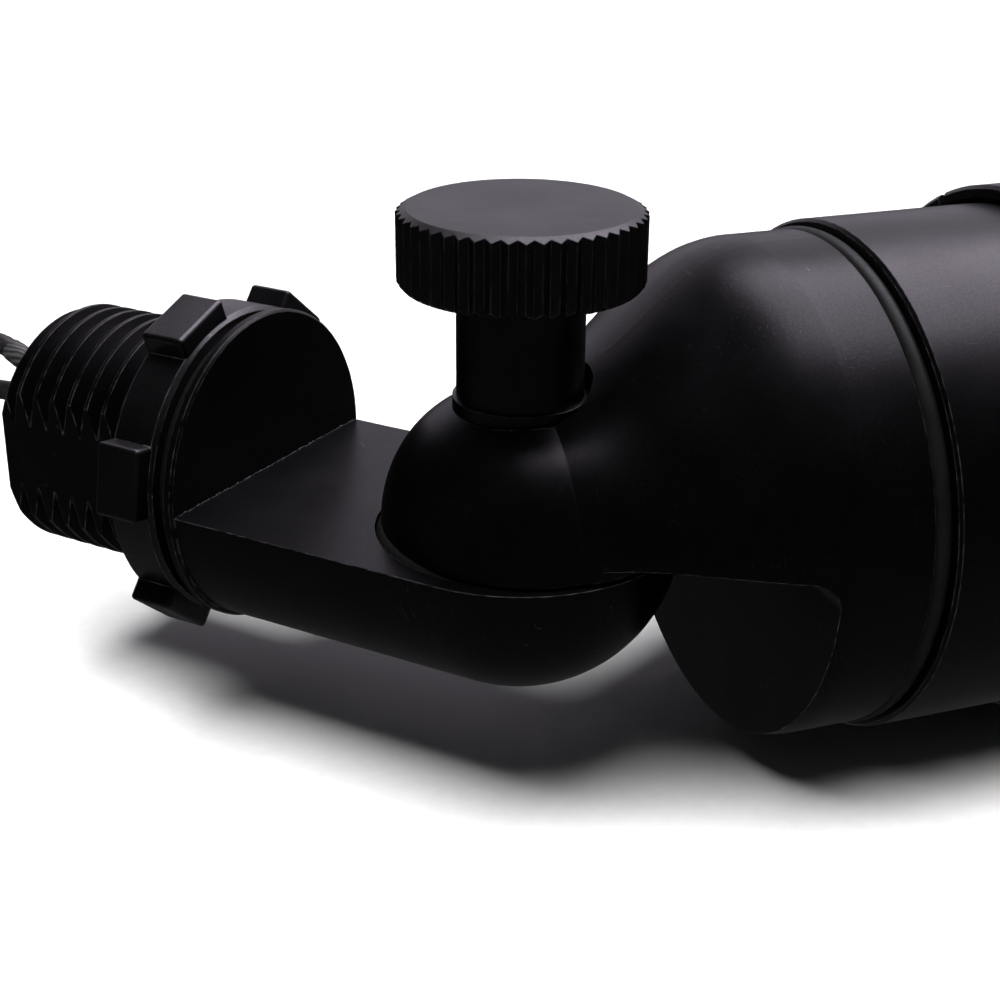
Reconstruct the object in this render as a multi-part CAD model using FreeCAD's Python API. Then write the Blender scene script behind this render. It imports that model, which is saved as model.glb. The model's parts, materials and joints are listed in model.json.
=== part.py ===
import FreeCAD, Part
import math
import os

# Adjustable bullet spotlight on a threaded knuckle, lying on its side.
# Millimetres. +Z is the knuckle's hinge axis, +X runs from the knuckle to the hood, and the origin is
# the centre of the threaded stem's end face.

V = FreeCAD.Vector
X_AXIS, Y_AXIS, Z_AXIS = V(1, 0, 0), V(0, 1, 0), V(0, 0, 1)

# ---- driving dimensions -------------------------------------------------------------------------
KNUCKLE_BEND = 49.3        # degrees between the stem's line and the body's line at rest
STEM_LENGTH = 44.6         # threaded end to hinge axis
LAP_GAP = 0.3              # between the two half-lap faces, bridged by the knuckle seal
AXIS_RISE = 0.5            # body axis above the lap plane

THREAD_R = 10.45           # half-inch straight pipe thread, major radius
THREAD_PITCH = 25.4 / 14
THREAD_DEPTH = 1.15
THREAD_FLAT = 8.9          # moulded flats on both sides of the thread
FLANGE_R = 12.95
FLANGE_X = 20.1            # where the thread meets the flange
FLANGE_T = 0.95
TAB_R = 12.6               # lower half of the knuckle
STEM_BORE_R = 6.2
STEM_BORE_END = 17.0

NUT_R = 12.9
NUT_LUG_R = 14.3
NUT_X0, NUT_X1 = 14.6, 18.9
NUT_LUG_WIDTH = 5.9
NUT_LUGS = 6
NUT_PHASE = -20.0          # degrees from +Z to the first lug
NUT_BORE_R = 10.5

NOSE_SEMI = (10.5, 12.0, 11.0)   # upper half of the knuckle: half-axes of its rounded end
RELIEF_Z = 1.0             # underside of the cap beside the knuckle's round pad
PAD_R = 12.4
SPOTFACE_Z = 9.6
SHOULDER_X = 17.05         # from the hinge: face that the lower knuckle swings past
CAP_R = 20.05
CAP_X1 = 24.3
BARREL_X0, BARREL_X1 = 25.9, 70.0
BARREL_R = 20.75
SPIGOT_R = 18.6
HOOD_X0 = 41.95
HOOD_R = 22.2
HOOD_BORE_R = 21.2
HOOD_LONG_X, HOOD_SHORT_X = 100.0, 84.0

HEAD_R = 9.15
HEAD_Z0, HEAD_Z1 = 19.2, 24.9
HEAD_TEETH = 48
SHANK_R = 4.8
SCREW_R = 3.0              # M6
SCREW_END_Z = -10.3        # blind end of the thumbscrew, inside the lower knuckle
WASHER_R, WASHER_T = 5.1, 1.0

LENS_R = 18.9
LAMP_R = 17.5              # 35 mm reflector lamp
PIN_SPACING = 4.0          # two-pin lamp base

LEAD_D = 1.8               # over the jacket
FLOOR_Z = AXIS_RISE - HOOD_R
COIL_TURN_R = (12.6, 7.05) # radii at the start and the end of three turns
COIL_U, COIL_V = 48.0, -1.8      # coil centre, out from the stem's end and across

HOOD_RING_X = 47.0         # friction ring between hood and barrel
HOOD_NOTCH_TURN = -28.0    # degrees about the body axis from straight up
SET_SCREW_X = 52.0
SET_SCREW_R, SET_SCREW_LENGTH = 1.5, 1.35
SET_SCREW_TURN = -90.0     # degrees about the body axis from straight up

LEAD_EXIT_Z = (2.9, 0.3)   # where the two leads leave the stem's end
STEM_WAY_Z, STEM_WAY_R = -5.6, 2.6       # wire way along the lower knuckle
CAP_WAY_Z, CAP_WAY_R = 5.2, 2.6          # wire way into the rear cap
POCKET_R = (4.7, 8.4)      # ring-shaped wire pocket round the hinge screw

FIT = 0.05                 # radial clearance of a running fit


# ---- helpers ------------------------------------------------------------------------------------
def disc(r, x0, x1, z=0.0):
    """Solid cylinder along +X."""
    return Part.makeCylinder(r, x1 - x0, V(x0, 0, z), X_AXIS)


def tube(r_out, r_in, x0, x1, z=0.0):
    return disc(r_out, x0, x1, z).cut(disc(r_in, x0, x1, z))


def post(r, z0, z1, x=0.0, y=0.0):
    """Solid cylinder along +Z."""
    return Part.makeCylinder(r, z1 - z0, V(x, y, z0), Z_AXIS)


def block(x0, x1, y0, y1, z0, z1):
    return Part.makeBox(x1 - x0, y1 - y0, z1 - z0, V(x0, y0, z0))


def turned(profile, z=0.0):
    """Solid of revolution about the line through z along +X, from (x, radius) points."""
    points = [V(x, r, z) for x, r in profile]
    points.append(points[0])
    face = Part.Face(Part.makePolygon(points))
    return face.revolve(V(0, 0, z), X_AXIS, 360)


def turned_upright(profile):
    """Solid of revolution about the Z axis, from (radius, z) points."""
    points = [V(r, 0, z) for r, z in profile]
    points.append(points[0])
    face = Part.Face(Part.makePolygon(points))
    return face.revolve(V(0, 0, 0), Z_AXIS, 360)


def ring(mean_r, wire_r, x, z=0.0):
    """O-ring around the X direction."""
    return Part.makeTorus(mean_r, wire_r, V(x, 0, z), X_AXIS)


def around(shape, angle, z=0.0):
    """Copy turned about the X direction."""
    made = shape.copy()
    made.rotate(V(0, 0, z), X_AXIS, angle)
    return made


def fuse(shapes):
    return shapes[0].multiFuse(shapes[1:]).removeSplitter()


def group(solids):
    return Part.makeCompound(solids)


def ellipsoid(half_x, half_y, half_z):
    sphere = Part.makeSphere(1.0)
    scale = FreeCAD.Matrix()
    scale.scale(V(half_x, half_y, half_z))
    return sphere.transformGeometry(scale)


STEM_TURN = FreeCAD.Rotation(Z_AXIS, -KNUCKLE_BEND)
HINGE = STEM_TURN.multVec(V(STEM_LENGTH, 0, 0))


def on_stem(shape):
    """Stem pieces are drawn with x from the threaded end towards the hinge."""
    made = shape.copy()
    made.Placement = FreeCAD.Placement(V(0, 0, 0), STEM_TURN).multiply(made.Placement)
    return made


def on_body(shape):
    """Body pieces are drawn with the hinge at the origin and x along the body."""
    made = shape.copy()
    made.translate(HINGE)
    return made


# ---- stem: lower knuckle, lock nut, potting -----------------------------------------------------
def thread_groove():
    """Helical V groove of the stem's thread."""
    root_r = THREAD_R - THREAD_DEPTH
    top_r = THREAD_R + 0.35
    half_root = 0.08
    half_top = half_root + (top_r - root_r) * math.tan(math.radians(30))
    length = NUT_X1 + 3.0
    helix = Part.makeHelix(THREAD_PITCH, length, THREAD_R)
    points = [V(root_r, 0, -half_root), V(top_r, 0, -half_top), V(top_r, 0, half_top), V(root_r, 0, half_root)]
    section = Part.makePolygon(points + points[:1])
    groove = Part.Wire(helix.Edges).makePipeShell([section], True, True)
    groove.rotate(V(0, 0, 0), Y_AXIS, 90)
    groove.translate(V(-1.8, 0, 0))
    return groove


def threaded_knuckle():
    chamfer = 0.95
    lead_in = turned([(-1, 0), (-1, THREAD_R - chamfer - 1), (chamfer, THREAD_R), (chamfer, THREAD_R + 3),
                      (FLANGE_X, THREAD_R + 3), (FLANGE_X, 0)])
    groove = thread_groove().cut(disc(THREAD_R + 5, FLANGE_X - 0.4, FLANGE_X + 10))
    stem = disc(THREAD_R, 0, FLANGE_X).common(lead_in).cut(groove)
    for side in (-1, 1):
        y0, y1 = sorted((side * THREAD_FLAT, side * (THREAD_R + 2)))
        stem = stem.cut(block(-1, FLANGE_X - 0.4, y0, y1, -THREAD_R, THREAD_R))
    edge = 0.2
    x0, x1 = FLANGE_X, FLANGE_X + FLANGE_T
    flange = turned([(x0, 0), (x0, FLANGE_R - edge), (x0 + edge, FLANGE_R), (x1 - edge, FLANGE_R),
                     (x1, FLANGE_R - edge), (x1, 0)])
    lap_z = -LAP_GAP / 2
    tab = disc(TAB_R, x1 - 0.3, STEM_LENGTH).fuse(Part.makeSphere(TAB_R, V(STEM_LENGTH, 0, 0)))
    tab = tab.cut(block(-1, STEM_LENGTH + 20, -20, 20, lap_z, 20))
    tab = tab.cut(block(-1, x1 - 0.3, -20, 20, -20, 20))
    body = fuse([stem, flange, tab])
    pocket = post(POCKET_R[1], lap_z - 5.6, lap_z + 1).cut(post(POCKET_R[0], lap_z - 5.6, lap_z + 1))
    seal_groove = post(11.1, lap_z - 1.1, lap_z + 1).cut(post(9.5, lap_z - 1.1, lap_z + 1))
    hinge_cuts = [pocket, seal_groove, post(SCREW_R + FIT, -20, 5)]
    for cut in hinge_cuts:
        cut.translate(V(STEM_LENGTH, 0, 0))
    cuts = [disc(STEM_BORE_R, -1, STEM_BORE_END),
            disc(STEM_WAY_R, STEM_BORE_END - 1, STEM_LENGTH - 6.5, STEM_WAY_Z)]
    for cut in cuts + hinge_cuts:
        body = body.cut(cut)
    return body


def lock_nut():
    edge = 0.35
    x0, x1 = NUT_X0, NUT_X1
    bore = NUT_BORE_R
    nut = turned([(x0, bore + edge), (x0, NUT_R - edge), (x0 + edge, NUT_R), (x1 - edge, NUT_R), (x1, NUT_R - edge),
                  (x1, bore + edge), (x1 - edge, bore), (x0 + edge, bore)])
    lug_end, corner = 0.25, 0.35
    lugs = []
    for n in range(NUT_LUGS):
        half = NUT_LUG_WIDTH / 2
        lug = block(x0 + 0.05, x1 - lug_end, -half, half, NUT_R - 1.2, NUT_LUG_R)
        lug = lug.makeFillet(corner, lug.Edges)
        lugs.append(around(lug, -(NUT_PHASE + n * 360.0 / NUT_LUGS)))
    return fuse([nut] + lugs)


def nut_gasket():
    return tube(11.7, NUT_BORE_R + FIT, NUT_X1 + 0.02, FLANGE_X - 0.02)


def lead_holes(r, x0, x1):
    return [Part.makeCylinder(r, x1 - x0, V(x0, 0, z), X_AXIS) for z in LEAD_EXIT_Z]


def stem_potting():
    plug = disc(STEM_BORE_R - 0.02, 0.8, 6.5)
    for hole in lead_holes(LEAD_D / 2 + FIT, 0, 9):
        plug = plug.cut(hole)
    return plug


def stem_leads():
    """Leads inside the stem, from the potting to the pocket round the hinge screw."""
    solids = []
    for side, z in zip((1, -1), LEAD_EXIT_Z):
        points = [V(1.0, 0, z), V(8.5, 0, z), V(11.0, side * 1.15, z - 2.5), V(16.0, side * 1.15, -4.9),
                  V(22.0, side * 1.15, STEM_WAY_Z), V(STEM_LENGTH - 7.3, side * 1.15, STEM_WAY_Z)]
        solids.append(route_tube(points, LEAD_D))
    return group(solids)


# ---- free leads -----------------------------------------------------------------------------------
def route_tube(points, diameter):
    """Round tube along straight runs joined by tangent arcs."""
    edges = []
    start = points[0]
    tightest = None
    for before, corner, after in zip(points, points[1:], points[2:]):
        back, on = before - corner, after - corner
        turn = math.pi - back.getAngle(on)
        reach = 0.45 * min(back.Length, on.Length)
        radius = reach / math.tan(turn / 2)
        tightest = radius if tightest is None else min(tightest, radius)
        back.normalize()
        on.normalize()
        enter, leave = corner + back * reach, corner + on * reach
        middle_dir = back + on
        middle_dir.normalize()
        depth = radius / math.cos(turn / 2) - radius
        edges.append(Part.makeLine(start, enter))
        edges.append(Part.Arc(enter, corner + middle_dir * depth, leave).toShape())
        start = leave
    edges.append(Part.makeLine(start, points[-1]))
    path = Part.Wire(edges)
    along = points[1] - points[0]
    section = Part.Wire(Part.makeCircle(diameter / 2, points[0], along))
    print(f"route: length {path.Length:.1f} mm, tightest bend {tightest:.1f} mm")
    return path.makePipeShell([section], True, False)


FLOOR_LEAD_Z = FLOOR_Z + LEAD_D / 2
SECOND_LAYER_Z = FLOOR_LEAD_Z + LEAD_D + 0.1
# points out from the stem's end, across it, and up
LEAD_A_ROUTE = [(-0.8, 0.0, 2.9), (4.0, 0.0, 3.7), (9.5, 0.3, 6.1), (16.5, 1.4, 3.2), (20.5, 2.8, -6.0),
                (24.0, 4.4, -15.0), (30.5, 8.2, FLOOR_LEAD_Z), (39.0, 10.6, FLOOR_LEAD_Z),
                (COIL_U, COIL_V + COIL_TURN_R[0], FLOOR_LEAD_Z)]
LEAD_B_ROUTE = [(-0.8, 0.0, 0.3), (4.0, 0.0, 0.4), (9.5, -0.3, 1.7), (16.5, -1.8, -2.0), (20.0, -4.0, -10.0),
                (23.5, -6.6, -17.5), (30.0, -10.0, FLOOR_LEAD_Z), (38.5, -13.9, SECOND_LAYER_Z),
                (COIL_U, COIL_V - COIL_TURN_R[0], SECOND_LAYER_Z)]


def outward(points):
    """Points given out from the stem's end, in the stem's own frame."""
    return [V(-u, v, z) for u, v, z in points]


def lead(route, coil_z):
    """The lead from the potting to where it runs into its coil."""
    return route_tube(outward(route), LEAD_D).cut(lead_coil(coil_z))


def lead_coil(z):
    outer = COIL_TURN_R[0] + LEAD_D / 2
    inner = COIL_TURN_R[1] - LEAD_D / 2
    low, high = z - LEAD_D / 2, z + LEAD_D / 2
    return post(outer, low, high, -COIL_U, COIL_V).cut(post(inner, low, high, -COIL_U, COIL_V))


def lead_tips():
    """Stripped ends of the leads, lying inside their coils."""
    tips = []
    tip_r, length = 0.55, 4.5
    for side in (-1, 1):
        start = V(-COIL_U - length + 1.0, COIL_V + side * 3.6, FLOOR_Z + tip_r)
        tips.append(Part.makeCylinder(tip_r, length, start, X_AXIS))
    return group(tips)


def lead_ties():
    """One tie round each side of the stacked coils."""
    ties = []
    inner, outer = COIL_TURN_R[1] - LEAD_D / 2, COIL_TURN_R[0] + LEAD_D / 2
    low, high = FLOOR_LEAD_Z - LEAD_D / 2, SECOND_LAYER_Z + LEAD_D / 2
    wall, width, slack = 0.5, 2.4, 0.12
    for side in (-1, 1):
        x0, x1 = sorted((-COIL_U + side * (inner - wall - slack), -COIL_U + side * (outer + wall)))
        y = COIL_V
        band = block(x0, x1, y - width / 2, y + width / 2, low + 0.02, high + wall)
        hollow = block(x0 + wall, x1 - wall, y - width, y + width, low - 1, high)
        ties.append(band.cut(hollow))
    return group(ties)


# ---- hinge hardware -----------------------------------------------------------------------------
def thumbscrew():
    teeth = []
    root_r = HEAD_R - 0.42
    for n in range(HEAD_TEETH):
        for part, r in ((0.0, root_r), (0.5, HEAD_R)):
            angle = 2 * math.pi * (n + part) / HEAD_TEETH
            teeth.append(V(r * math.cos(angle), r * math.sin(angle), HEAD_Z0))
    star = Part.Face(Part.makePolygon(teeth + teeth[:1]))
    knurl = star.extrude(V(0, 0, HEAD_Z1 - HEAD_Z0))
    low, high = 0.35, 0.42
    envelope = turned_upright([(0, HEAD_Z0), (HEAD_R - low, HEAD_Z0), (HEAD_R + 0.05, HEAD_Z0 + low + 0.1),
                               (HEAD_R + 0.05, HEAD_Z1 - high), (HEAD_R - 0.75, HEAD_Z1), (0, HEAD_Z1)])
    head = knurl.common(envelope)
    shank_z = SPOTFACE_Z + WASHER_T + 0.02
    shank = post(SHANK_R, shank_z, HEAD_Z0 + 0.5)
    tip = 0.5
    end = SCREW_END_Z
    shaft = turned_upright([(0, end), (SCREW_R - tip, end), (SCREW_R, end + tip), (SCREW_R, shank_z + 0.5),
                            (0, shank_z + 0.5)])
    return fuse([head, shank, shaft])


def thumbscrew_washer():
    z0 = SPOTFACE_Z + 0.01
    return post(WASHER_R, z0, z0 + WASHER_T).cut(post(SCREW_R + FIT, z0 - 1, z0 + 3))


def knuckle_seal():
    seal = Part.makeTorus(10.3, 0.7, V(0, 0, -LAP_GAP / 2 - 0.38), Z_AXIS)
    return seal.cut(post(20, LAP_GAP / 2 - 0.02, 5))


# ---- body: rear cap -----------------------------------------------------------------------------
def cap_sections():
    """x, half-width and half-height of the cap from inside its rounded end to the full round."""
    return [(-3.0, 10.6, 9.7), (0.5, 12.0, 10.9), (4.0, 13.0, 11.6), (8.0, 15.0, 13.7), (12.0, 17.4, 17.0),
            (15.5, 19.3, 19.2), (19.0, CAP_R, CAP_R)]


def cap_outer():
    wires = []
    for x, half_w, half_h in cap_sections():
        centre = V(x, 0, AXIS_RISE * min(1.0, max(0.0, x) / 12.0))
        if half_w > half_h:
            curve = Part.Ellipse(centre + V(0, half_w, 0), centre + V(0, 0, half_h), centre)
        elif abs(half_w - half_h) < 1e-6:
            curve = Part.Circle(centre, X_AXIS, half_w)
        else:
            curve = Part.Ellipse(centre + V(0, 0, half_h), centre + V(0, half_w, 0), centre)
        wires.append(Part.Wire(curve.toShape()))
    dome = Part.makeLoft(wires, True)
    return fuse([dome, disc(CAP_R, 19.0, CAP_X1, AXIS_RISE)])


def rear_cap():
    lap_z = LAP_GAP / 2
    outer = cap_outer()
    outer = outer.fuse(ellipsoid(*NOSE_SEMI))
    relief = block(-30, SHOULDER_X, -30, 30, -30, RELIEF_Z)
    upper = outer.cut(relief)
    pad = post(PAD_R, lap_z, RELIEF_Z + 0.2).common(outer)
    corner = 2.0
    fillet = block(SHOULDER_X - corner, SHOULDER_X + 0.2, -CAP_R, CAP_R, RELIEF_Z - corner, RELIEF_Z + 0.2)
    fillet = fillet.cut(Part.makeCylinder(corner, 2 * CAP_R, V(SHOULDER_X - corner, -CAP_R, RELIEF_Z - corner), Y_AXIS))
    fillet = fillet.common(outer)
    spigot = disc(SPIGOT_R, CAP_X1 - 0.5, 31.0, AXIS_RISE)
    body = fuse([upper, pad, fillet, spigot])
    cuts = [disc(16.4, 20.5, 32.0, AXIS_RISE),
            post(SCREW_R + 0.1, -5, 20),
            post(WASHER_R + 0.3, SPOTFACE_Z, 20),
            post(POCKET_R[1], lap_z - 1, lap_z + 5.0).cut(post(POCKET_R[0], lap_z - 1, lap_z + 5.0)),
            disc(CAP_WAY_R, 6.5, 12.0, CAP_WAY_Z),
            disc(CAP_WAY_R + 0.9, 11.0, 20.6, CAP_WAY_Z),
            block(18.2, 20.6, -3.4, 3.4, -1.0, CAP_WAY_Z + 3.4)]
    for cut in cuts:
        body = body.cut(cut)
    return body


def cap_oring():
    half = (BARREL_X0 - CAP_X1) / 2 - 0.02
    return ring(SPIGOT_R + half + 0.06, half, (BARREL_X0 + CAP_X1) / 2, AXIS_RISE)


# ---- body: barrel, lens and hood ------------------------------------------------------------------
def barrel():
    edge = 0.25
    x0, x1 = BARREL_X0, BARREL_X1
    return turned([(x0, SPIGOT_R + FIT), (x0, BARREL_R - edge), (x0 + edge, BARREL_R), (x1 - 0.6, BARREL_R),
                   (x1, BARREL_R - 0.6), (x1, LENS_R + 0.2), (63.0, LENS_R + 0.2), (63.0, 17.9), (33.0, 17.9),
                   (33.0, SPIGOT_R + FIT)], AXIS_RISE)


def lens_gasket():
    return tube(LENS_R, 16.6, 63.02, 64.0, AXIS_RISE)


def lamp_cushion():
    """Soft ring that holds the lamp's rim off the lens."""
    return tube(17.7, 15.9, 60.02, 63.0, AXIS_RISE)


def lens():
    bevel = 0.3
    x0, x1 = 64.02, 67.0
    return turned([(x0, 0), (x0, LENS_R - bevel), (x0 + bevel, LENS_R), (x1 - bevel, LENS_R), (x1, LENS_R - bevel),
                   (x1, 0)], AXIS_RISE)


def retaining_ring():
    """Ring pressed into the barrel in front of the lens."""
    bevel = 0.5
    x0, x1 = 67.02, 69.4
    return turned([(x0, 16.9), (x0, LENS_R + 0.15), (x1, LENS_R + 0.15), (x1, 16.9 + bevel), (x1 - bevel, 16.9)],
                  AXIS_RISE)


def hood():
    edge = 0.3
    shell = turned([(HOOD_X0, HOOD_BORE_R), (HOOD_X0, HOOD_R - edge), (HOOD_X0 + edge, HOOD_R),
                    (HOOD_LONG_X + 4, HOOD_R), (HOOD_LONG_X + 4, HOOD_BORE_R)], AXIS_RISE)
    boss = tube(HOOD_BORE_R + 0.1, BARREL_R + FIT, HOOD_RING_X + 1.0, HOOD_RING_X + 9.0, AXIS_RISE)
    lip = tube(HOOD_BORE_R + 0.1, BARREL_R + FIT, HOOD_RING_X - 2.5, HOOD_RING_X - 1.0, AXIS_RISE)
    shell = fuse([shell, boss, lip])
    slope = math.degrees(math.atan2(HOOD_LONG_X - HOOD_SHORT_X, 2 * HOOD_R))
    cutter = block(0, 60, -60, 60, -60, 60)
    cutter.rotate(V(0, 0, 0), Z_AXIS, slope)
    cutter.translate(V((HOOD_LONG_X + HOOD_SHORT_X) / 2, 0, 0))
    shell = shell.cut(cutter)
    notch = block(HOOD_X0 - 1, HOOD_X0 + 1.0, -0.4, 0.4, HOOD_BORE_R - 1, HOOD_R + 1)
    notch.translate(V(0, 0, AXIS_RISE))
    shell = shell.cut(around(notch, HOOD_NOTCH_TURN, AXIS_RISE))
    return shell.cut(set_screw_hole(SET_SCREW_R + FIT))


def set_screw_hole(r):
    hole = Part.makeCylinder(r, 4.0, V(SET_SCREW_X, 0, AXIS_RISE + 19.5), Z_AXIS)
    return around(hole, SET_SCREW_TURN, AXIS_RISE)


def hood_set_screw():
    """Headless screw, flush with the hood, with a hexagon socket."""
    base = AXIS_RISE + BARREL_R + FIT
    socket_depth, socket_r = 0.9, 0.87
    screw = Part.makeCylinder(SET_SCREW_R, SET_SCREW_LENGTH, V(SET_SCREW_X, 0, base), Z_AXIS)
    angles = [math.radians(60 * n) for n in range(6)]
    floor_z = base + SET_SCREW_LENGTH - socket_depth
    points = [V(SET_SCREW_X + socket_r * math.cos(a), socket_r * math.sin(a), floor_z) for a in angles]
    socket = Part.Face(Part.makePolygon(points + points[:1])).extrude(V(0, 0, 2 * socket_depth))
    return around(screw.cut(socket), SET_SCREW_TURN, AXIS_RISE)


def hood_friction_ring():
    """Square-section friction ring between the hood's two inner lands."""
    return tube(HOOD_BORE_R - 0.03, BARREL_R + FIT, HOOD_RING_X - 0.95, HOOD_RING_X + 0.95, AXIS_RISE)


# ---- body: lamp and what holds it -----------------------------------------------------------------
def lamp_housing():
    wall = 1.3
    outer = [(34.0, 8.2), (36.0, 9.0), (41.0, 12.2), (48.0, 15.2), (55.0, 16.9), (57.0, LAMP_R), (60.0, LAMP_R)]
    inner = [(60.0, LAMP_R - wall), (57.2, LAMP_R - wall), (55.0, 15.6), (48.0, 13.9), (42.0, 11.2), (42.0, 0)]
    shell = turned([(34.0, 0)] + outer + inner, AXIS_RISE)
    fins = 20
    for n in range(fins):
        gap = block(36.5, 52.5, -0.7, 0.7, 8.9, 20.0)
        tilt = 20.0
        gap.rotate(V(36.5, 0, 8.9), Y_AXIS, -tilt)
        gap.translate(V(0, 0, AXIS_RISE))
        shell = shell.cut(around(gap, 360.0 * n / fins, AXIS_RISE))
    return shell


def lamp_optic():
    """Front optic with one lens cup over each of three emitters."""
    plate = disc(LAMP_R - 1.35, 57.3, 59.2, AXIS_RISE)
    cups = []
    for n in range(3):
        cup = Part.makeCone(2.4, 6.6, 12.6, V(44.9, 0, AXIS_RISE + 7.0), X_AXIS)
        cups.append(around(cup, 120.0 * n, AXIS_RISE))
    return fuse([plate] + cups)


def lamp_led_board():
    return disc(10.9, 42.02, 43.2, AXIS_RISE)


def lamp_leds():
    chips = []
    for n in range(3):
        chip = block(43.22, 44.6, -1.75, 1.75, AXIS_RISE + 7.0 - 1.75, AXIS_RISE + 7.0 + 1.75)
        chips.append(around(chip, 120.0 * n, AXIS_RISE))
    return group(chips)


def lamp_base():
    return fuse([disc(7.6, 30.0, 33.98, AXIS_RISE), disc(6.2, 28.4, 30.2, AXIS_RISE)])


def lamp_pins():
    pins = []
    for side in (-1, 1):
        pin = Part.makeCylinder(0.5, 6.4, V(22.0, side * PIN_SPACING / 2, AXIS_RISE), X_AXIS)
        pins.append(pin)
    return group(pins)


def lamp_socket():
    body = block(21.3, 27.6, -5.0, 5.0, AXIS_RISE - 3.6, AXIS_RISE + 3.6)
    for side in (-1, 1):
        y = side * PIN_SPACING / 2
        body = body.cut(Part.makeCylinder(1.15, 8, V(21.9, y, AXIS_RISE), X_AXIS))
    return body.cut(block(21.2, 22.4, -3.3, 3.3, AXIS_RISE - 1.6, AXIS_RISE + 2.8))


def socket_contacts():
    sleeves = []
    for side in (-1, 1):
        y = side * PIN_SPACING / 2
        outer = Part.makeCylinder(1.1, 4.6, V(22.4, y, AXIS_RISE), X_AXIS)
        bore = Part.makeCylinder(0.53, 5, V(22.3, y, AXIS_RISE), X_AXIS)
        slit = block(22.3, 27.2, y - 0.15, y + 0.15, AXIS_RISE, AXIS_RISE + 2)
        sleeves.append(outer.cut(bore).cut(slit))
    return group(sleeves)


def socket_bracket():
    """Folded strip that holds the socket inside the cap's spigot."""
    half, sheet = 3.2, 0.6
    low, high = AXIS_RISE - half, AXIS_RISE + half
    strip = block(27.7, 27.7 + sheet, -15.9, 15.9, low, high)
    for side in (-1, 1):
        strip = strip.cut(Part.makeCylinder(0.9, 3, V(26.5, side * PIN_SPACING / 2, AXIS_RISE), X_AXIS))
    folds = []
    for x0, y in ((25.0, 15.6), (22.5, 5.35)):
        for side in (-1, 1):
            folds.append(block(x0, 27.7 + sheet, side * y - sheet / 2, side * y + sheet / 2, low, high))
    return fuse([strip] + folds)


def body_leads():
    """Leads inside the body, from the pocket round the hinge screw to the lamp socket."""
    solids = []
    for side in (-1, 1):
        points = [V(7.4, side * 1.15, CAP_WAY_Z), V(16.8, side * 1.2, CAP_WAY_Z - 0.3),
                  V(21.3, side * PIN_SPACING / 2, AXIS_RISE + 0.3)]
        solids.append(route_tube(points, LEAD_D))
    return group(solids)


# ---- the pieces -----------------------------------------------------------------------------------
STEM_PIECES = {
    "threaded_knuckle": threaded_knuckle,
    "lock_nut": lock_nut,
    "nut_gasket": nut_gasket,
    "stem_potting": stem_potting,
    "stem_leads": stem_leads,
    "lead_a": lambda: lead(LEAD_A_ROUTE, FLOOR_LEAD_Z),
    "lead_a_coil": lambda: lead_coil(FLOOR_LEAD_Z),
    "lead_b": lambda: lead(LEAD_B_ROUTE, SECOND_LAYER_Z),
    "lead_b_coil": lambda: lead_coil(SECOND_LAYER_Z),
    "lead_tips": lead_tips,
    "lead_ties": lead_ties,
}
BODY_PIECES = {
    "thumbscrew": thumbscrew,
    "thumbscrew_washer": thumbscrew_washer,
    "knuckle_seal": knuckle_seal,
    "rear_cap": rear_cap,
    "cap_oring": cap_oring,
    "barrel": barrel,
    "lens_gasket": lens_gasket,
    "lamp_cushion": lamp_cushion,
    "lens": lens,
    "retaining_ring": retaining_ring,
    "hood": hood,
    "hood_set_screw": hood_set_screw,
    "hood_friction_ring": hood_friction_ring,
    "lamp_housing": lamp_housing,
    "lamp_optic": lamp_optic,
    "lamp_led_board": lamp_led_board,
    "lamp_leds": lamp_leds,
    "lamp_base": lamp_base,
    "lamp_pins": lamp_pins,
    "lamp_socket": lamp_socket,
    "socket_contacts": socket_contacts,
    "socket_bracket": socket_bracket,
    "body_leads": body_leads,
}


def main():
    os.makedirs("parts", exist_ok=True)
    print("hinge at", [round(c, 4) for c in HINGE])
    for pieces, place in ((STEM_PIECES, on_stem), (BODY_PIECES, on_body)):
        for name, make in pieces.items():
            shape = place(make())
            valid = shape.isValid() and len(shape.Solids) > 0
            print(f"{name}: {len(shape.Solids)} solids, {shape.Volume:.0f} mm3{'' if valid else '  NOT VALID'}")
            shape.exportStep(os.path.join("parts", name + ".step"))


main()
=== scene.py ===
import json
import math
import random

import bmesh
import bpy
from mathutils import Matrix, Vector


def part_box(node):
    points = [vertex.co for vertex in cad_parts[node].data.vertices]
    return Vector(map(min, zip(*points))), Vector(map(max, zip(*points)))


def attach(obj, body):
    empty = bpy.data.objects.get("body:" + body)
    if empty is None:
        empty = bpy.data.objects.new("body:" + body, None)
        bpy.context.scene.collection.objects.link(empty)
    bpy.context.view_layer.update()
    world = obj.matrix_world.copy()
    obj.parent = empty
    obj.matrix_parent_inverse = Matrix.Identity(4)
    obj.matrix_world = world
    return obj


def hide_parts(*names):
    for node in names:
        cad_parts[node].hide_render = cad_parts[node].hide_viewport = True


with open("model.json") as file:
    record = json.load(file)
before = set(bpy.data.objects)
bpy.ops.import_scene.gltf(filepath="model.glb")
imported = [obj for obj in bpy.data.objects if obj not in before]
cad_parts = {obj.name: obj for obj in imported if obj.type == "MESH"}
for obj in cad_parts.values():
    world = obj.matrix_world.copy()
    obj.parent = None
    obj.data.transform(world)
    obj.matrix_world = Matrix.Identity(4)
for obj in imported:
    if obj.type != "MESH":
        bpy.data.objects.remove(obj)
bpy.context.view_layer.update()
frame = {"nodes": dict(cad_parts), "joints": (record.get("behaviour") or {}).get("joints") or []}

# Adjustable bullet spotlight lying on its side. Metres, in the CAD frame: +Z is the knuckle's hinge axis,
# +X runs along the body to the hood, and the origin is the centre of the threaded stem's end face.

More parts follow.
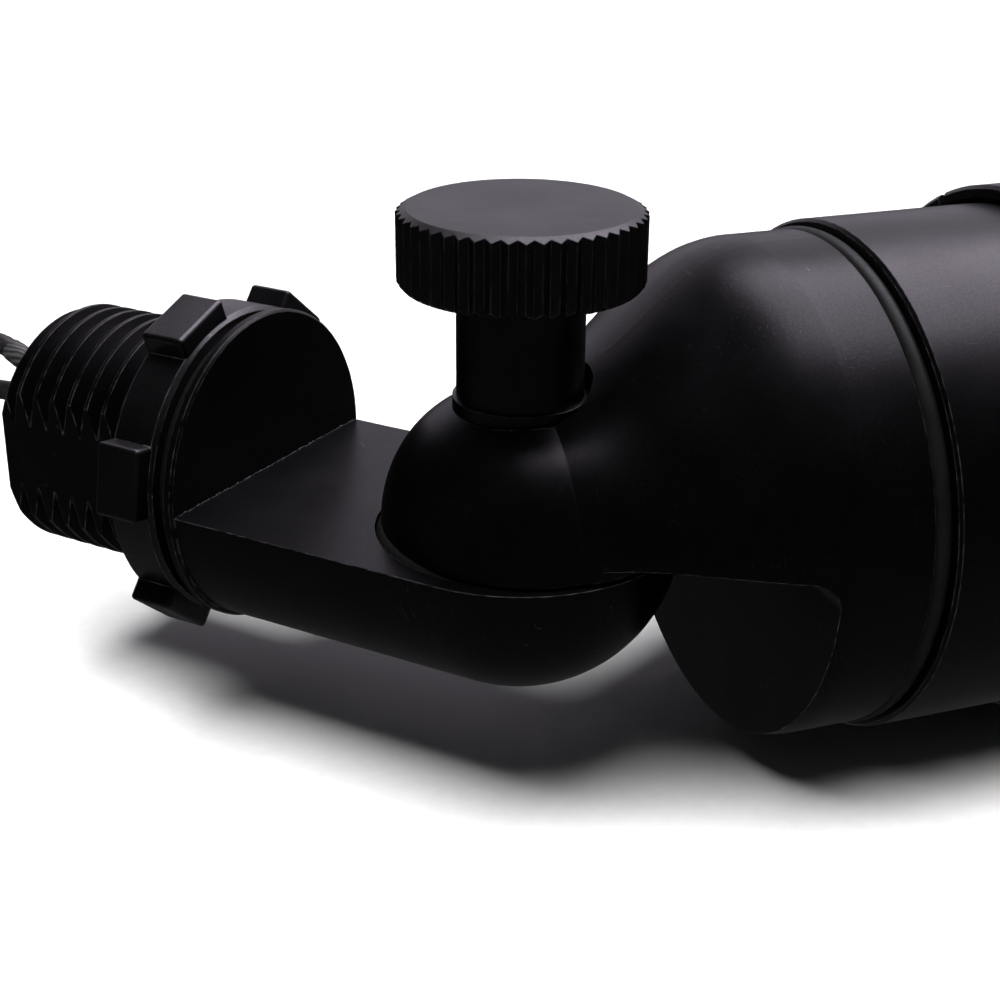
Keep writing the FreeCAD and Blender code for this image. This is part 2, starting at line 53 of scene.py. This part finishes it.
MM = 0.001
nodes = frame["nodes"]
joints = {j["name"]: j for j in frame["joints"]}
HINGE = Vector(joints["knuckle_tilt"]["pos_m"])
OUT = Vector(joints["locknut_travel"]["axis"])          # out of the stem's end, along the stem
ACROSS = Vector((OUT.y, -OUT.x, 0))                     # across the stem
UP = Vector((0, 0, 1))
FLOOR_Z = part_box("hood")[0].z


# ---- camera ---------------------------------------------------------------------------------------
CAMERA_AZIMUTH, CAMERA_ELEVATION, CAMERA_ROLL = 19.97, 23.53, -0.39      # degrees
CAMERA_DISTANCE = 137.53 * MM
CAMERA_LENS = 64.06                                     # millimetres on a 36 mm sensor
LOOK_LEFT, LOOK_UP = 1.44 * MM, 1.74 * MM               # from the hinge's centre


def make_camera():
    azimuth, elevation = math.radians(CAMERA_AZIMUTH), math.radians(CAMERA_ELEVATION)
    forward = Vector((math.sin(azimuth) * math.cos(elevation), math.cos(azimuth) * math.cos(elevation),
                      -math.sin(elevation)))
    right = forward.cross(UP).normalized()
    right = Matrix.Rotation(math.radians(CAMERA_ROLL), 3, forward) @ right
    up = right.cross(forward)
    target = HINGE - right * LOOK_LEFT + up * LOOK_UP
    data = bpy.data.cameras.new("camera")
    data.sensor_width = 36
    data.lens = CAMERA_LENS
    data.clip_start = 0.005
    camera = bpy.data.objects.new("camera", data)
    basis = Matrix((right, up, -forward)).transposed()
    camera.matrix_world = Matrix.Translation(target - forward * CAMERA_DISTANCE) @ basis.to_4x4()
    bpy.context.scene.collection.objects.link(camera)
    bpy.context.scene.camera = camera


make_camera()


# ---- free leads -----------------------------------------------------------------------------------
LEAD_D = 1.8 * MM                                       # over the jacket
FLOOR_LEAD_Z = FLOOR_Z / MM + 0.9
SECOND_LAYER_Z = FLOOR_LEAD_Z + 1.9
COIL_START_R, COIL_PITCH, COIL_TURNS = 12.6, 1.85, 2.75
COIL_U, COIL_V = 48.0, -1.8                             # the coil's centre, out from the stem and across it
# the run in to the stripped end, in millimetres back from the coil's centre and out to the lead's own side
RUN_IN_START, RUN_IN_BEND, STRIPPED_END = (6.3, 2.6), (4.2, 3.6), (1.0, 3.6)
FIRST_FALL, LAST_FALL = 0.35, 0.2                       # shares of the drop to the floor
# millimetres out from the stem's end, across it, and up
LEAD_A_ROUTE = [(-0.8, 0.0, 2.9), (4.0, 0.0, 3.7), (9.5, 0.3, 6.1), (16.5, 1.4, 3.2), (20.5, 2.8, -6.0),
                (24.0, 4.4, -15.0), (30.5, 8.2, FLOOR_LEAD_Z), (39.0, 10.6, FLOOR_LEAD_Z)]
LEAD_B_ROUTE = [(-0.8, 0.0, 0.3), (4.0, 0.0, 0.4), (9.5, -0.3, 1.7), (16.5, -1.8, -2.0),
                (20.0, -4.0, -10.0), (23.5, -6.6, -17.5), (30.0, -10.0, FLOOR_LEAD_Z),
                (38.5, -13.9, SECOND_LAYER_Z)]


def place(u, v, z):
    """Point from millimetres out from the stem's end, across it, and up."""
    return OUT * (u * MM) + ACROSS * (v * MM) + UP * (z * MM)


def coil_points(side, z):
    """Turns from the outside in, then a short run in to the stripped end."""
    points = []
    per_turn = 16
    count = round(COIL_TURNS * per_turn)
    for n in range(count + 1):
        turned = n / per_turn
        angle = side * (math.pi / 2 - 2 * math.pi * turned)
        r = COIL_START_R - COIL_PITCH * turned
        points.append((COIL_U + r * math.cos(angle), COIL_V + r * math.sin(angle), z))
    drop = z - FLOOR_LEAD_Z
    for (back, out), height in ((RUN_IN_START, z - FIRST_FALL * drop),
                                (RUN_IN_BEND, FLOOR_LEAD_Z + LAST_FALL * drop),
                                (STRIPPED_END, FLOOR_LEAD_Z)):
        points.append((COIL_U - back, COIL_V + side * out, height))
    return points


def make_lead(name, route, side, z, stands_for):
    points = [place(*p) for p in route + coil_points(side, z)]
    curve = bpy.data.curves.new(name, "CURVE")
    curve.dimensions = "3D"
    spline = curve.splines.new("NURBS")
    spline.points.add(len(points) - 1)
    for made, point in zip(spline.points, points):
        made.co = (*point, 1)
        made.radius = LEAD_D / 2
    spline.order_u = 3
    spline.use_endpoint_u = True
    spline.resolution_u = 8
    curve.bevel_depth = 1.0                             # times each point's radius
    curve.bevel_resolution = 5
    curve.use_fill_caps = True
    lead = bpy.data.objects.new(name, curve)
    bpy.context.scene.collection.objects.link(lead)
    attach(lead, "base")
    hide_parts(*stands_for)
    return lead, points


lead_a, lead_a_points = make_lead("supply_lead_a", LEAD_A_ROUTE, 1, FLOOR_LEAD_Z,
                                  ["lead_a", "lead_a_coil"])
lead_b, lead_b_points = make_lead("supply_lead_b", LEAD_B_ROUTE, -1, SECOND_LAYER_Z,
                                  ["lead_b", "lead_b_coil"])


# ---- shader helpers ---------------------------------------------------------------------------------
class Shader:
    """A Principled material with small helpers for its nodes."""

    def __init__(self, name):
        self.material = bpy.data.materials.new(name)
        self.material.use_nodes = True
        self.tree = self.material.node_tree
        self.bsdf = self.tree.nodes["Principled BSDF"]
        self.coords = self.node("ShaderNodeTexCoord").outputs["Object"]

    def node(self, kind, **settings):
        made = self.tree.nodes.new(kind)
        for key, value in settings.items():
            setattr(made, key, value)
        return made

    def link(self, output, socket):
        self.tree.links.new(output, socket)

    def set(self, **values):
        for key, value in values.items():
            self.bsdf.inputs[key.replace("_", " ")].default_value = value

    def drawn_out(self, stretch, turn=(0, 0, 0)):
        """Coordinates whose features are stretched along axes turned by so many degrees."""
        mapping = self.node("ShaderNodeMapping", vector_type="TEXTURE")
        mapping.inputs["Scale"].default_value = stretch
        mapping.inputs["Rotation"].default_value = [math.radians(a) for a in turn]
        self.link(self.coords, mapping.inputs["Vector"])
        return mapping.outputs["Vector"]

    def noise(self, scale, detail, vector=None):
        made = self.node("ShaderNodeTexNoise")
        made.inputs["Scale"].default_value = scale
        made.inputs["Detail"].default_value = detail
        made.inputs["Roughness"].default_value = 0.55
        self.link(vector or self.coords, made.inputs["Vector"])
        return made.outputs["Fac"]

    def remap(self, value, low, high, to_low=0.0, to_high=1.0):
        made = self.node("ShaderNodeMapRange")
        made.inputs["From Min"].default_value = low
        made.inputs["From Max"].default_value = high
        made.inputs["To Min"].default_value = to_low
        made.inputs["To Max"].default_value = to_high
        self.link(value, made.inputs["Value"])
        return made.outputs["Result"]

    def math(self, operation, a, b):
        made = self.node("ShaderNodeMath", operation=operation)
        for socket, value in zip(made.inputs, (a, b)):
            if isinstance(value, (int, float)):
                socket.default_value = value
            else:
                self.link(value, socket)
        return made.outputs[0]

    def mix(self, factor, a, b):
        """Colour a to colour b; each is a tuple or an output."""
        made = self.node("ShaderNodeMix", data_type="RGBA")
        self.link(factor, made.inputs["Factor"])
        for name, value in (("A", a), ("B", b)):
            socket = [s for s in made.inputs if s.name == name and s.type == "RGBA"][0]
            if isinstance(value, tuple):
                socket.default_value = (*value, 1)
            else:
                self.link(value, socket)
        return [s for s in made.outputs if s.type == "RGBA"][0]

    def edge(self, radius):
        """1 at sharp edges and 0 on plain surfaces, and the normal rounded over radius."""
        plain, sharp = 0.995, 0.93                      # cosines between the rounded and true normals
        bevel = self.node("ShaderNodeBevel", samples=6)
        bevel.inputs["Radius"].default_value = radius
        flat = self.node("ShaderNodeNewGeometry").outputs["True Normal"]
        dot = self.node("ShaderNodeVectorMath", operation="DOT_PRODUCT")
        self.link(bevel.outputs["Normal"], dot.inputs[0])
        self.link(flat, dot.inputs[1])
        return self.remap(dot.outputs["Value"], plain, sharp), bevel.outputs["Normal"]

    def bump(self, height, strength, distance, normal=None):
        made = self.node("ShaderNodeBump")
        made.inputs["Strength"].default_value = strength
        made.inputs["Distance"].default_value = distance
        self.link(height, made.inputs["Height"])
        if normal is not None:
            self.link(normal, made.inputs["Normal"])
        return made.outputs["Normal"]

    def finish(self, colour, roughness, normal=None):
        self.link(colour, self.bsdf.inputs["Base Color"])
        self.link(roughness, self.bsdf.inputs["Roughness"])
        if normal is not None:
            self.link(normal, self.bsdf.inputs["Normal"])
        return self.material


def dress(material, *names):
    for name in names:
        slots = nodes[name].data.materials
        slots.clear()
        slots.append(material)


# ---- materials --------------------------------------------------------------------------------------
BLACK = (0.0007, 0.00065, 0.00075)
WORN = (0.16, 0.15, 0.165)
RUBBED_EDGE = 0.14 * MM                                 # how far in from an edge the wear goes


def black_finish(name, scratch_turn, rough=(0.36, 0.46), scratched=0.5, wear=0.4, specular=0.28):
    """Satin black on metal: fine scratches one way, a few across, and edges rubbed bright."""
    s = Shader(name)
    grain = s.noise(6500, 2)
    cloud = s.noise(130, 4)
    patches = s.remap(s.noise(210, 3), 0.46, 0.62)
    fine = s.remap(s.noise(5200, 2, vector=s.drawn_out((14, 1, 1), scratch_turn)), 0.60, 0.76)
    across = s.remap(s.noise(1500, 2, vector=s.drawn_out((0.8, 9, 0.8), scratch_turn)), 0.70, 0.80)
    marks = s.math("MAXIMUM", s.math("MULTIPLY", fine, patches), across)
    rubbed, rounded = s.edge(RUBBED_EDGE)
    chipped = s.math("MULTIPLY", rubbed, s.remap(s.noise(1300, 4), 0.40, 0.62))
    worn = s.math("MULTIPLY", chipped, wear)
    dusty = s.mix(s.remap(cloud, 0.35, 0.75), BLACK, tuple(c * 1.6 for c in BLACK))
    marked = s.mix(s.math("MULTIPLY", marks, 0.02 * scratched), dusty, WORN)
    colour = s.mix(worn, marked, WORN)
    unmarked = s.remap(cloud, 0.3, 0.7, *rough)
    roughness = s.math("ADD", unmarked, s.math("MULTIPLY", marks, -0.10 * scratched))
    sheen = s.remap(grain, 0.25, 0.75, 0.78 * specular, 1.22 * specular)
    s.link(s.math("ADD", sheen, s.math("MULTIPLY", marks, 0.9 * scratched * specular)),
           s.bsdf.inputs["Specular IOR Level"])
    height = s.math("ADD", s.math("MULTIPLY", grain, 0.7), s.math("MULTIPLY", marks, -scratched))
    return s.finish(colour, roughness, s.bump(height, 0.4, 0.02 * MM, rounded))


def soft_rubber(name, colour, rough=0.48):
    s = Shader(name)
    s.set(Specular_IOR_Level=0.2)
    speck = s.noise(2600, 3)
    cloud = s.noise(300, 3)
    tone = s.mix(s.remap(cloud, 0.3, 0.7), colour, tuple(c * 1.5 for c in colour))
    roughness = s.remap(speck, 0.3, 0.7, rough - 0.06, rough + 0.08)
    return s.finish(tone, roughness, s.bump(speck, 0.2, 0.02 * MM))


def lead_jacket():
    s = Shader("lead_jacket")
    s.set(Specular_IOR_Level=0.35)
    speck = s.noise(1800, 3)
    tone = s.mix(s.remap(speck, 0.35, 0.7), (0.006, 0.0055, 0.006), (0.013, 0.012, 0.013))
    return s.finish(tone, s.remap(speck, 0.3, 0.7, 0.36, 0.5), s.bump(speck, 0.25, 0.02 * MM))


def woven_sleeve():
    """Grey varnished glass sleeve over a lead."""
    s = Shader("woven_sleeve")
    s.set(Specular_IOR_Level=0.4)
    weave = s.node("ShaderNodeTexWave", wave_type="BANDS", bands_direction="DIAGONAL")
    weave.inputs["Scale"].default_value = 900
    weave.inputs["Distortion"].default_value = 2.5
    s.link(s.coords, weave.inputs["Vector"])
    height = weave.outputs["Fac"]
    tone = s.mix(height, (0.012, 0.0115, 0.012), (0.05, 0.048, 0.05))
    return s.finish(tone, s.remap(height, 0, 1, 0.6, 0.42), s.bump(height, 0.6, 0.05 * MM))


def bare_metal(name, colour, rough, brushed=(1, 1, 1)):
    s = Shader(name)
    s.set(Metallic=1.0)
    streak = s.noise(1800, 3, vector=s.drawn_out(brushed))
    tone = s.mix(s.remap(streak, 0.3, 0.7), colour, tuple(c * 0.72 for c in colour))
    roughness = s.remap(streak, 0.3, 0.7, rough - 0.08, rough + 0.1)
    return s.finish(tone, roughness, s.bump(streak, 0.2, 0.01 * MM))


def matt_plastic(name, colour, rough=0.55):
    s = Shader(name)
    speck = s.noise(2200, 3)
    tone = s.mix(s.remap(speck, 0.35, 0.65), colour, tuple(c * 0.85 for c in colour))
    roughness = s.remap(speck, 0.3, 0.7, rough - 0.08, rough + 0.08)
    return s.finish(tone, roughness, s.bump(speck, 0.25, 0.02 * MM))


def clear(name, tint, rough, ior):
    s = Shader(name)
    s.set(Transmission_Weight=1.0, IOR=ior)
    haze = s.noise(250, 3)
    tone = s.mix(s.remap(haze, 0.3, 0.7), tint, tuple(c * 0.97 for c in tint))
    return s.finish(tone, s.remap(haze, 0.3, 0.7, rough, rough + 0.03))


CAST = black_finish("black_cast", (0, 68, 0), (0.30, 0.38), scratched=0.8, wear=0.25, specular=0.21)
dress(CAST, "rear_cap", "threaded_knuckle")
NUT = black_finish("black_nut", (0, 0, 40), (0.30, 0.42), scratched=0.9, wear=0.4, specular=0.8)
dress(NUT, "lock_nut")
TURNED = black_finish("black_turned", (0, 0, 0), (0.30, 0.38), scratched=0.35, wear=0.3)
dress(TURNED, "barrel", "hood", "retaining_ring")
SCREW = black_finish("black_screw", (0, 0, 25), (0.32, 0.42), scratched=0.25, wear=0.08, specular=0.46)
dress(SCREW, "thumbscrew", "thumbscrew_washer")
SEAL = soft_rubber("seal_rubber", (0.0030, 0.0034, 0.0030))
dress(SEAL, "cap_oring", "knuckle_seal", "nut_gasket", "lens_gasket", "lamp_cushion", "hood_friction_ring")
dress(soft_rubber("potting", (0.006, 0.006, 0.006), 0.3), "stem_potting")
JACKET = lead_jacket()
dress(JACKET, "stem_leads", "body_leads", "lead_a", "lead_a_coil", "lead_b", "lead_b_coil")
for lead in (lead_a, lead_b):
    lead.data.materials.append(JACKET)
COPPER = bare_metal("tinned_copper", (0.74, 0.72, 0.68), 0.34)
dress(COPPER, "lead_tips")
TIE = matt_plastic("tie_nylon", (0.02, 0.02, 0.02), 0.5)
dress(TIE, "lead_ties")
STEEL = bare_metal("bright_steel", (0.62, 0.62, 0.63), 0.3, (1, 1, 0.25))
dress(STEEL, "hood_set_screw", "lamp_pins", "socket_contacts", "socket_bracket")
dress(bare_metal("lamp_metal", (0.72, 0.72, 0.73), 0.42), "lamp_housing")
dress(clear("lens_glass", (0.95, 0.98, 0.97), 0.02, 1.5), "lens")
dress(clear("lamp_optic", (0.97, 0.97, 0.96), 0.06, 1.49), "lamp_optic")
dress(matt_plastic("lamp_board", (0.82, 0.82, 0.80)), "lamp_led_board")
dress(matt_plastic("led_phosphor", (0.80, 0.58, 0.10), 0.4), "lamp_leds")
dress(matt_plastic("lamp_plastic", (0.80, 0.80, 0.77)), "lamp_base")
dress(matt_plastic("steatite", (0.72, 0.69, 0.62), 0.65), "lamp_socket")


# ---- pieces on the leads ----------------------------------------------------------------------------
def mesh_object(name, bm, body, material):
    data = bpy.data.meshes.new(name)
    bm.to_mesh(data)
    bm.free()
    for polygon in data.polygons:
        polygon.use_smooth = True
    made = bpy.data.objects.new(name, data)
    bpy.context.scene.collection.objects.link(made)
    data.materials.append(material)
    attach(made, body)
    return made


def tube_along(points, radii, sides=20):
    """Closed round tube through points, with a radius at each one."""
    bm = bmesh.new()
    rings = []
    side = None
    for n, point in enumerate(points):
        ahead = points[min(n + 1, len(points) - 1)] - points[max(n - 1, 0)]
        ahead.normalize()
        side = side or ahead.orthogonal()
        side = (side - ahead * side.dot(ahead)).normalized()
        other = ahead.cross(side)
        ring = []
        for k in range(sides):
            angle = 2 * math.pi * k / sides
            ring.append(bm.verts.new(point + (side * math.cos(angle) + other * math.sin(angle)) * radii[n]))
        rings.append(ring)
    for a, b in zip(rings, rings[1:]):
        for k in range(sides):
            bm.faces.new((a[k], a[(k + 1) % sides], b[(k + 1) % sides], b[k]))
    bm.faces.new(list(reversed(rings[0])))
    bm.faces.new(rings[-1])
    bmesh.ops.recalc_face_normals(bm, faces=bm.faces)
    return bm


def centreline(lead):
    """Points on the lead's own line, from the curve without its thickness."""
    depth = lead.data.bevel_depth
    lead.data.bevel_depth = 0
    bpy.context.view_layer.update()
    mesh = bpy.data.meshes.new_from_object(lead)
    points = [v.co.copy() for v in mesh.vertices]
    bpy.data.meshes.remove(mesh)
    lead.data.bevel_depth = depth
    return points


def stretch(points, start, end):
    """The points whose distance along the line is between start and end."""
    kept, along = [], 0.0
    for before, point in zip(points, points[1:]):
        along += (point - before).length
        if start <= along <= end:
            kept.append(point)
    return kept


def make_sleeve(name, lead, start, end):
    points = stretch(centreline(lead), start, end)
    wall, rim = 0.16 * MM, 0.06 * MM
    radii = [LEAD_D / 2 + wall] * len(points)
    radii[0] -= rim
    radii[-1] -= rim
    return mesh_object(name, tube_along(points, radii), "base", woven_sleeve())


sleeve_a = make_sleeve("lead_a_sleeve", lead_a, start=2.6 * MM, end=8.6 * MM)
sleeve_b = make_sleeve("lead_b_sleeve", lead_b, start=2.6 * MM, end=7.4 * MM)


def make_tip(name, side):
    """Twisted tinned strands at a lead's stripped end."""
    strands, turns, length = 7, 1.6, 4.4
    strand_r, ring_r, fray, centre_height = 0.16, 0.33, 0.35, 0.62
    steps, sides = 24, 8
    back, out = STRIPPED_END
    bm = bmesh.new()
    for n in range(strands):
        offset = 0.0 if n == 0 else ring_r
        points = []
        for k in range(steps + 1):
            f = k / steps
            angle = 2 * math.pi * (n / (strands - 1) + turns * f)
            splay = offset * (1 + fray * f * f)
            points.append(place(COIL_U - back + length * f, COIL_V + side * out + splay * math.cos(angle),
                                FLOOR_Z / MM + centre_height + splay * math.sin(angle)))
        piece = tube_along(points, [strand_r * MM] * len(points), sides)
        data = bpy.data.meshes.new("strand")
        piece.to_mesh(data)
        piece.free()
        bm.from_mesh(data)
        bpy.data.meshes.remove(data)
    return mesh_object(name, bm, "base", COPPER)


tip_a = make_tip("lead_a_tip", 1)
tip_b = make_tip("lead_b_tip", -1)
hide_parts("lead_tips")


def make_tie_head(name, side):
    """Locking head of a tie, on the band's top."""
    length, width, height = 2.6, 3.1, 0.8
    from_centre, sunk, rounding = 9.8, 0.42, 0.22
    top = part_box("lead_ties")[1].z / MM
    u = COIL_U + side * from_centre
    bm = bmesh.new()
    bmesh.ops.create_cube(bm, size=1.0)
    for vert in bm.verts:
        x, y, z = vert.co
        vert.co = place(u + x * length, COIL_V + y * width, top - sunk + z * height)
    bmesh.ops.bevel(bm, geom=list(bm.edges), offset=rounding * MM, segments=2, affect="EDGES")
    return mesh_object(name, bm, "base", TIE)


for side, word in ((-1, "near"), (1, "far")):
    make_tie_head(f"tie_head_{word}", side)


# ---- marks of making ----------------------------------------------------------------------------------
def make_flash_line():
    """Rough bead where the flange's face meets the knuckle's flat."""
    random.seed(7)
    x, z, half = 21.05, -0.13, 12.2
    wander, thinnest, swell = (-0.03, 0.05), 0.05, 0.11
    steps, sides = 150, 8
    points, radii = [], []
    for n in range(steps + 1):
        y = -half + 2 * half * n / steps
        points.append(place(-(x + random.uniform(*wander)), y, z + random.uniform(*wander)))
        radii.append((thinnest + swell * random.random() ** 2) * MM)
    return mesh_object("flange_flash_line", tube_along(points, radii, sides), "base", CAST)


make_flash_line()


# ---- floor and light ------------------------------------------------------------------------------------
def make_floor():
    s = Shader("floor")
    s.set(Specular_IOR_Level=0.15)
    grain = s.noise(900, 3)
    tone = s.mix(s.remap(grain, 0.3, 0.7), (0.90, 0.895, 0.90), (0.93, 0.93, 0.93))
    s.finish(tone, s.remap(grain, 0.3, 0.7, 0.6, 0.75), s.bump(grain, 0.25, 0.03 * MM))
    data = bpy.data.meshes.new("floor")
    half = 20.0
    z = FLOOR_Z
    corners = [(-half, -half, z), (half, -half, z), (half, half, z), (-half, half, z)]
    data.from_pydata(corners, [], [(0, 1, 2, 3)])
    data.materials.append(s.material)
    floor = bpy.data.objects.new("floor", data)
    bpy.context.scene.collection.objects.link(floor)
    floor.visible_glossy = False


def make_light(name, position, target, width, height, power, colour, seen_in_gloss, lights_matt):
    data = bpy.data.lights.new(name, "AREA")
    data.shape = "RECTANGLE"
    data.size, data.size_y = width, height
    data.energy = power
    data.color = colour
    light = bpy.data.objects.new(name, data)
    light.location = position
    light.rotation_euler = (Vector(target) - Vector(position)).to_track_quat("-Z", "Y").to_euler()
    light.visible_glossy = seen_in_gloss
    light.visible_diffuse = lights_matt
    bpy.context.scene.collection.objects.link(light)


def make_world():
    """Dark studio with a faint glow from below, as from a floor."""
    world = bpy.data.worlds.new("studio")
    world.use_nodes = True
    tree = world.node_tree
    background = tree.nodes["Background"]
    background.inputs["Color"].default_value = (0.96, 0.93, 1.0, 1)
    direction = tree.nodes.new("ShaderNodeTexCoord").outputs["Generated"]
    parts = tree.nodes.new("ShaderNodeSeparateXYZ")
    tree.links.new(direction, parts.inputs["Vector"])
    glow = tree.nodes.new("ShaderNodeMapRange")
    for socket, value in (("From Min", -0.6), ("From Max", 0.05), ("To Min", 0.07), ("To Max", 0.003)):
        glow.inputs[socket].default_value = value
    tree.links.new(parts.outputs["Z"], glow.inputs["Value"])
    tree.links.new(glow.outputs["Result"], background.inputs["Strength"])
    bpy.context.scene.world = world


VIOLET_WHITE = (0.94, 0.86, 1.0)

make_floor()
# a softbox and a wide ceiling light the floor and matt surfaces; two panels show only as reflections
make_light("key_box", (-0.16, -0.17, 1.0), HINGE, 0.72, 0.72, 23.5, (1, 1, 1), False, True)
make_light("room_box", (0, 0, 4.0), HINGE, 14.0, 14.0, 26, (1, 1, 1), False, True)
make_light("top_reflector", (0.68, 0.30, 1.0), (0.68, 0.30, 0.0), 1.45, 1.12, 25, VIOLET_WHITE, True, False)
make_light("back_reflector", (0.65, 1.5, 0.55), HINGE, 3.0, 1.1, 6.8, VIOLET_WHITE, True, False)
make_world()
bpy.context.scene.view_settings.view_transform = "Standard"
